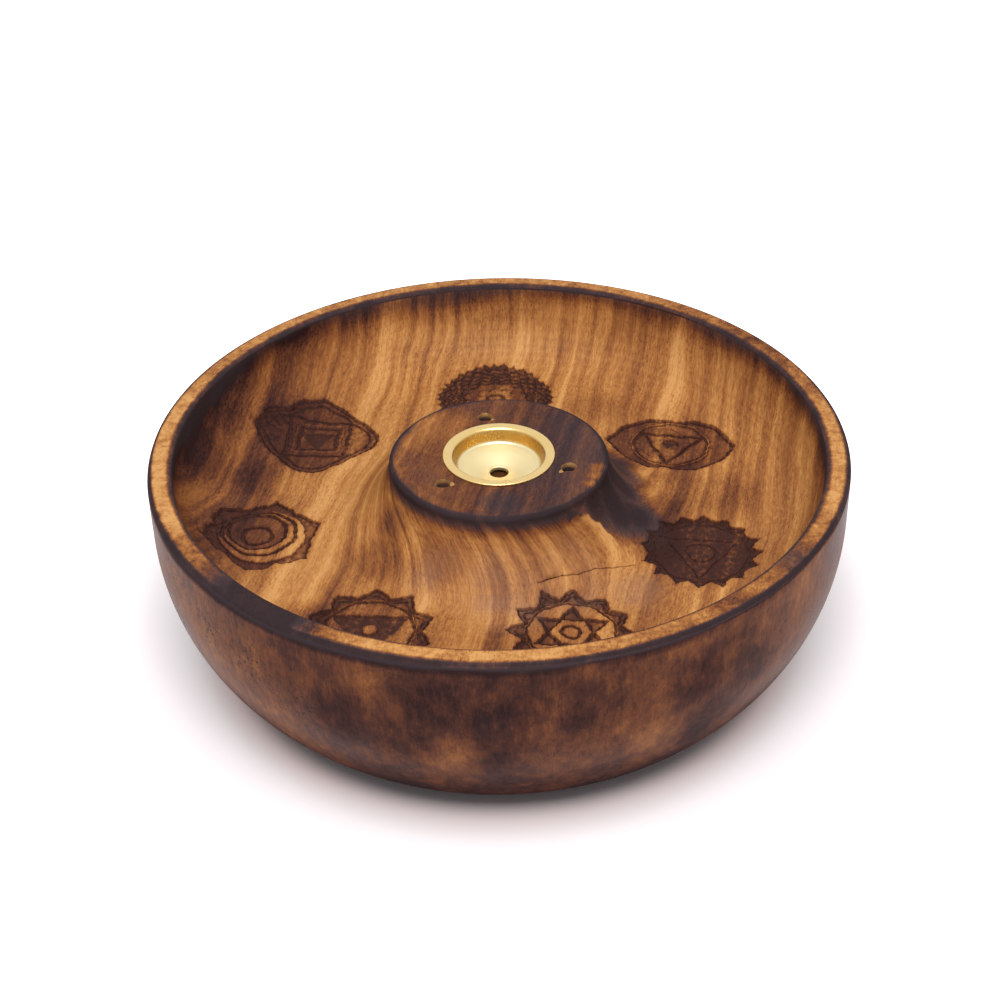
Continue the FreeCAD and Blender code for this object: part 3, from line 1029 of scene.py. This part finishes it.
def attribute(tree, name):
    """An amount painted on the mesh."""
    return add_node(tree, "ShaderNodeAttribute", attribute_name=name).outputs["Fac"]


def new_material(name):
    """A new material, its node tree and its shader."""
    material = bpy.data.materials.new(name)
    material.use_nodes = True
    tree = material.node_tree
    return material, tree, tree.nodes["Principled BSDF"]


def place_in_mm(tree):
    """Place on the piece, in millimetres."""
    place = add_node(tree, "ShaderNodeTexCoord").outputs["Object"]
    return stretch(tree, place, even(1 / MM))


def plan_radius(tree, place):
    """Distance from the turning axis."""
    return length(tree, stretch(tree, place, (1.0, 1.0, 0.0)))


def dress(tree, shader, colour, rough, relief, strength, depth):
    """Joins colour, roughness and a bump to a shader, with the bump's depth in millimetres."""
    inputs = {"Height": relief, "Strength": strength, "Distance": depth * MM}
    bump = add_node(tree, "ShaderNodeBump", inputs).outputs[0]
    for name, value in (("Base Color", colour), ("Roughness", rough), ("Normal", bump)):
        tree.links.new(value, shader.inputs[name])


def grey(value):
    return (value, value, value, 1.0)


# Growth layers of the plank: brightness along the direction across them, in millimetres.
# They stand upright near the walls and lean over round the boss.
LAYER_DIRECTION = (1.0, -0.22, 0.0)
FIBRE_DIRECTION = (0.22, 0.97, 0.0)
LAYER_LEAN = 0.85
LEAN_REACH = (46.0, 39.0)
LAYER_SPAN = 80.0
LAYER_TONES = (
    (-74, 0.15), (-67, 0.50), (-60, 0.35), (-52, 0.52), (-40, 0.84), (-33, 0.68), (-20, 0.74), (-2, 0.84),
    (9, 0.66), (14, 0.76), (19, 0.75), (33, 0.78), (42, 0.60), (50, 0.74), (66, 0.62), (76, 0.50),
)
WOOD_COLOURS = (
    (0.00, (0.028, 0.011, 0.011, 1.0)),
    (0.20, (0.084, 0.029, 0.019, 1.0)),
    (0.40, (0.188, 0.064, 0.026, 1.0)),
    (0.60, (0.338, 0.128, 0.039, 1.0)),
    (0.80, (0.516, 0.225, 0.066, 1.0)),
    (1.00, (0.685, 0.350, 0.120, 1.0)),
)
CHAR = (0.034, 0.021, 0.023, 1.0)
# Soot-grey of mid scorch, partly a painted blue-grey sheen on scorched wood
SOOT_AND_SHEEN = (0.080, 0.066, 0.077, 1.0)
EMBER = (0.135, 0.044, 0.021, 1.0)
# Pale grey-brown of the painted sheen on the floor in front of the boss
SHEEN_TINT = (0.40, 0.24, 0.17, 1.0)
CARVED_DARK = (0.046, 0.019, 0.016, 1.0)
RAW_WOOD = (0.50, 0.27, 0.09, 1.0)
SMOKED_TONE = 0.35
RIM_TONE = 0.74
WOOD_SHINE = 0.09
GOLD = ((0.76, 0.53, 0.19, 1.0), (0.84, 0.63, 0.30, 1.0))
# Darker amber of the cup's wall: a painted reflection of the brass in the brass
REFLECTED_AMBER = (0.46, 0.27, 0.07, 1.0)
# Paler cream of the dish floor, partly a painted highlight
CREAM_AND_HIGHLIGHT = (0.84, 0.72, 0.42, 1.0)


def smoked_tone(tree, place, fibres):
    """Blotched tone of the wall outside, where smoke hides the grain."""
    tone = sway(tree, SMOKED_TONE, noise(tree, place, even(0.06), 5.0, 0.62), 1.0)
    tone = sway(tree, tone, noise(tree, place, (0.25, 0.25, 0.2), 4.0, 0.7), 0.55)
    tone = sway(tree, tone, noise(tree, place, (0.7, 0.7, 0.25), 4.0, 0.65), 0.38)
    return sway(tree, tone, fibres, 0.3)


def wood_grain(tree):
    """Place, tone, streak, fibre and pore values of the plank that the bowl is turned from."""
    place = place_in_mm(tree)
    radius = plan_radius(tree, place)
    height = add_node(tree, "ShaderNodeSeparateXYZ", {0: place}).outputs[2]
    lean = between(tree, radius, *LEAN_REACH, 0.0, LAYER_LEAN)
    layer = shift(tree, dot(tree, place, LAYER_DIRECTION), lean, less(tree, height, FLOOR_LEVEL))
    layer = sway(tree, layer, noise(tree, place, even(0.03)), 7.0)
    fibre = dot(tree, place, FIBRE_DIRECTION)
    grain = add_node(tree, "ShaderNodeCombineXYZ", {0: layer, 1: fibre, 2: height}).outputs[0]
    stops = [(0.5 + 0.5 * at / LAYER_SPAN, grey(tone)) for at, tone in LAYER_TONES]
    tone = ramp(tree, shift(tree, 0.5, layer, 0.5 / LAYER_SPAN), stops)
    bands = noise(tree, grain, (0.28, 0.006, 0.012), 2.0, 0.55)
    streaks = noise(tree, grain, (0.8, 0.022, 0.05), 3.0, 0.6)
    fibres = noise(tree, grain, (2.6, 0.55, 0.6), 3.0, 0.65)
    section = add_node(tree, "ShaderNodeCombineXYZ", {0: radius, 1: height}).outputs[0]
    turned = noise(tree, section, even(1.0), 3.0, 0.7)
    for value, amount in ((bands, 1.0), (streaks, 0.55), (fibres, 0.6), (turned, 0.2)):
        tone = sway(tree, tone, value, amount)
    pores = between(tree, speckle(tree, grain, (2.6, 0.8, 0.9)), 0.42, 0.15)
    crowd = noise(tree, place, even(0.09), 3.0)
    pores = times(tree, pores, between(tree, crowd, 0.34, 0.60))
    return place, tone, streaks, fibres, pores


def scorched_wood():
    material, tree, shader = new_material("scorched_wood")
    place, tone, streaks, fibres, pores = wood_grain(tree)
    smoked = attribute(tree, "smoked")
    dull_foot_shade = attribute(tree, "dull_foot_shade")
    clouds = noise(tree, place, even(0.06), 4.0, 0.6)
    mottle = noise(tree, place, even(0.8), 3.0, 0.65)
    blotches = noise(tree, place, even(0.25), 3.0, 0.65)

    # How scorched, with the painted shade that the scorch amount carries, and how deeply carved
    uneven = sway(tree, less(tree, clouds, 0.5), streaks, 0.2)
    tongue = times(tree, attribute(tree, "tongue"), between(tree, attribute(tree, "torn"), 0.49, 0.53))
    burn_and_shade = calc(tree, "MAXIMUM", attribute(tree, "burn_and_shade"), tongue)
    burn_and_shade = shift(tree, burn_and_shade, uneven, between(tree, burn_and_shade, 0.0, 0.4, 0.3, 0.6))
    carved = times(tree, attribute(tree, "carved"), shift(tree, 0.55, mottle, 0.9))
    pores = times(tree, pores, shift(tree, 1.0, smoked, -0.75))
    pits = between(tree, less(tree, speckle(tree, place, even(0.9)), mottle), -0.1, -0.3)
    pits = times(tree, pits, attribute(tree, "pitted"))

    # Tone of the wood, dark to light, and its colour
    tone = blend(tree, smoked, tone, smoked_tone(tree, place, fibres))
    rim_tone = RIM_TONE
    for value, amount in ((blotches, 1.1), (mottle, 0.7), (fibres, 0.4)):
        rim_tone = sway(tree, rim_tone, value, amount)
    tone = blend(tree, attribute(tree, "rim"), tone, rim_tone)
    pale_and_sheen = attribute(tree, "pale_and_sheen")
    # Painted shade darkens the foot and, through the scorch amount, the lip, the boss's foot and the lip's
    # shadow; the pale amount also lifts the left outer wall as a painted sheen
    for value, amount in ((burn_and_shade, -0.75), (carved, -0.54), (pale_and_sheen, 0.28), (dull_foot_shade, -0.34), (pores, -0.16)):
        tone = shift(tree, tone, value, amount)
    colour = ramp(tree, tone, WOOD_COLOURS, "LINEAR")

    # Colours laid over it, each by its share
    charred = times(tree, between(tree, burn_and_shade, 0.6, 1.0), between(tree, mottle, 0.3, 0.6, 0.6, 0.95))
    # Soot-grey over mid scorch, partly a painted blue-grey sheen
    soot_and_sheen = between(tree, burn_and_shade, 0.3, 0.7, 0.0, 0.4)
    soot_and_sheen = times(tree, soot_and_sheen, between(tree, burn_and_shade, 0.75, 0.95, 1.0, 0.3))
    # Painted sheen on the floor in front of the boss
    painted_front_sheen = times(tree, attribute(tree, "painted_front_sheen"), between(tree, uneven, -0.2, 0.2, 0.1, 0.6))
    ember = times(tree, between(tree, carved, 0.2, 0.8, 0.0, 0.6), between(tree, mottle, 0.3, 0.7))
    overlays = (
        (charred, CHAR),
        (soot_and_sheen, SOOT_AND_SHEEN),
        (painted_front_sheen, SHEEN_TINT),
        (times(tree, pits, 0.8), CARVED_DARK),
        (ember, EMBER),
        (between(tree, carved, 0.8, 1.15), CARVED_DARK),
        (attribute(tree, "raw"), RAW_WOOD),
    )
    for share, over in overlays:
        colour = blend_colour(tree, share, colour, over)

    rough = shift(tree, 0.40, fibres, 0.16)
    for value, amount in ((smoked, -0.18), (dull_foot_shade, 0.7), (carved, 0.22)):
        rough = shift(tree, rough, value, amount)
    rough = shift(tree, rough, burn_and_shade, 0.9, clamp=True)
    shader.inputs["Specular IOR Level"].default_value = WOOD_SHINE
    relief = times(tree, fibres, 0.5)
    for value, amount in ((pores, -0.8), (pits, -3.0)):
        relief = shift(tree, relief, value, amount)
    dress(tree, shader, colour, rough, relief, 0.35, 0.08)
    return material


def polished_brass():
    material, tree, shader = new_material("polished_brass")
    place = place_in_mm(tree)
    radius = plan_radius(tree, place)
    inputs = {"W": times(tree, radius, 9.0), "Scale": 1.0, "Detail": 2.0}
    rings = add_node(tree, "ShaderNodeTexNoise", inputs, noise_dimensions="1D").outputs[0]
    smear = noise(tree, place, even(0.35), 4.0, 0.6)
    colour = blend_colour(tree, smear, *GOLD)
    # Painted reflection: the cup's wall is given a deeper amber
    wall = between(tree, radius, CUP_MOUTH + 0.5, CUP_MOUTH)
    # The dish floor is paler cream, partly a painted highlight
    floor = between(tree, radius, CUP_FLOOR_RADIUS + 0.3, CUP_FLOOR_RADIUS)
    for share, over in ((wall, REFLECTED_AMBER), (floor, CREAM_AND_HIGHLIGHT)):
        colour = blend_colour(tree, share, colour, over)
    shader.inputs["Metallic"].default_value = 1.0
    dull = between(tree, radius, CUP_FLOOR_RADIUS, CUP_FLOOR_RADIUS - 1.0, 0.0, 0.22)
    rough = calc(tree, "ADD", shift(tree, 0.2, smear, 0.16), dull)
    dress(tree, shader, colour, rough, rings, 0.12, 0.05)
    return material


# Studio: pale floor, soft light from above and a white surround, in metres and watts
FLOOR_HALF = 3.0
FLOOR_COLOUR = (0.93, 0.86, 0.885, 1.0)
FLOOR_ROUGHNESS = 0.9
# Light added to the floor close to the bowl and farther off: two distances and the amounts there
FLOOR_NEAR_LIFT = (0.0585, 0.0645, 0.0, 0.21)
FLOOR_FAR_LIFT = (0.072, 0.130, 0.0, 0.8)
# Warm light that the wood throws on the floor beside it
FLOOR_TINT = (1.0, 0.72, 0.65, 1.0)
FLOOR_TINT_REACH = (0.062, 0.072)
WORLD_LIGHT = 0.32
KEY_PLACE = (0.0, -0.42, 1.0)
KEY_SIZE = 0.6
KEY_ENERGY = 10.0
LIGHT_AIM = (0.0, 0.0, 0.03)


def seen_directly(tree):
    """1 for camera, glossy and transmission rays, so that they see a white surround."""
    path = add_node(tree, "ShaderNodeLightPath")
    seen = calc(tree, "MAXIMUM", path.outputs["Is Camera Ray"], path.outputs["Is Glossy Ray"])
    return calc(tree, "MAXIMUM", seen, path.outputs["Is Transmission Ray"])


def make_floor():
    mesh = bpy.data.meshes.new("floor")
    corners = [(-1, -1), (1, -1), (1, 1), (-1, 1)]
    mesh.from_pydata([(x * FLOOR_HALF, y * FLOOR_HALF, 0.0) for x, y in corners], [], [(0, 1, 2, 3)])
    floor = bpy.data.objects.new("floor", mesh)
    bpy.context.scene.collection.objects.link(floor)
    material, tree, shader = new_material("studio_floor")
    shader.inputs["Base Color"].default_value = FLOOR_COLOUR
    shader.inputs["Roughness"].default_value = FLOOR_ROUGHNESS
    shader.inputs["Specular IOR Level"].default_value = 0.0
    place = add_node(tree, "ShaderNodeTexCoord").outputs["Object"]
    away = length(tree, place)
    camera_ray = add_node(tree, "ShaderNodeLightPath").outputs["Is Camera Ray"]
    lift = calc(tree, "ADD", between(tree, away, *FLOOR_NEAR_LIFT), between(tree, away, *FLOOR_FAR_LIFT))
    lift = times(tree, camera_ray, lift)
    tint = blend_colour(tree, between(tree, away, *FLOOR_TINT_REACH), FLOOR_TINT, grey(1.0))
    tree.links.new(tint, shader.inputs["Emission Color"])
    tree.links.new(lift, shader.inputs["Emission Strength"])
    mesh.materials.append(material)


def make_world():
    world = bpy.data.worlds.new("studio")
    bpy.context.scene.world = world
    world.use_nodes = True
    tree = world.node_tree
    background = tree.nodes["Background"]
    background.inputs["Color"].default_value = grey(1.0)
    strength = between(tree, seen_directly(tree), 0.0, 1.0, WORLD_LIGHT, 1.0)
    tree.links.new(strength, background.inputs["Strength"])


def make_light(name, place, size, energy):
    """Square area light aimed at the bowl."""
    light = bpy.data.lights.new(name, "AREA")
    light.size = size
    light.energy = energy
    lamp = bpy.data.objects.new(name, light)
    lamp.location = place
    lamp.rotation_euler = (Vector(LIGHT_AIM) - Vector(place)).to_track_quat("-Z", "Y").to_euler()
    bpy.context.scene.collection.objects.link(lamp)


# Camera of the photograph, fitted to the rings of the bowl: angles in degrees, lengths in millimetres
PHOTO_ELEVATION = 34.864
PHOTO_ROLL = -1.197
PHOTO_DISTANCE = 430.0
PHOTO_SIDEWAYS = -0.525
PHOTO_RAISED = 28.253
PHOTO_LENS = 67.2
PHOTO_SENSOR = 36.0
CLIP_START = 10.0


def make_camera():
    elevation = math.radians(PHOTO_ELEVATION)
    roll = math.radians(PHOTO_ROLL)
    ahead = Vector((0, math.cos(elevation), -math.sin(elevation)))
    level = Vector((1, 0, 0))
    rise = Vector((0, math.sin(elevation), math.cos(elevation)))
    right = level * math.cos(roll) + rise * math.sin(roll)
    up = rise * math.cos(roll) - level * math.sin(roll)
    place = right * PHOTO_SIDEWAYS + up * PHOTO_RAISED - ahead * PHOTO_DISTANCE
    camera = bpy.data.cameras.new("photo_camera")
    camera.lens = PHOTO_LENS
    camera.sensor_width = PHOTO_SENSOR
    camera.clip_start = CLIP_START * MM
    holder = bpy.data.objects.new("photo_camera", camera)
    turn = Matrix((right, up, -ahead)).transposed().to_4x4()
    holder.matrix_world = Matrix.Translation(place * MM) @ turn
    bpy.context.scene.collection.objects.link(holder)
    bpy.context.scene.camera = holder


bowl = make_bowl()
bowl.data.materials.append(scorched_wood())
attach(bowl, "bowl")
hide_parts("turned_bowl")

cup = make_cup()
cup.data.materials.append(polished_brass())
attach(cup, "cup")
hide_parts("cone_cup")

make_floor()
make_world()
make_light("key", KEY_PLACE, KEY_SIZE, KEY_ENERGY)
make_camera()
bpy.context.scene.view_settings.view_transform = "Standard"
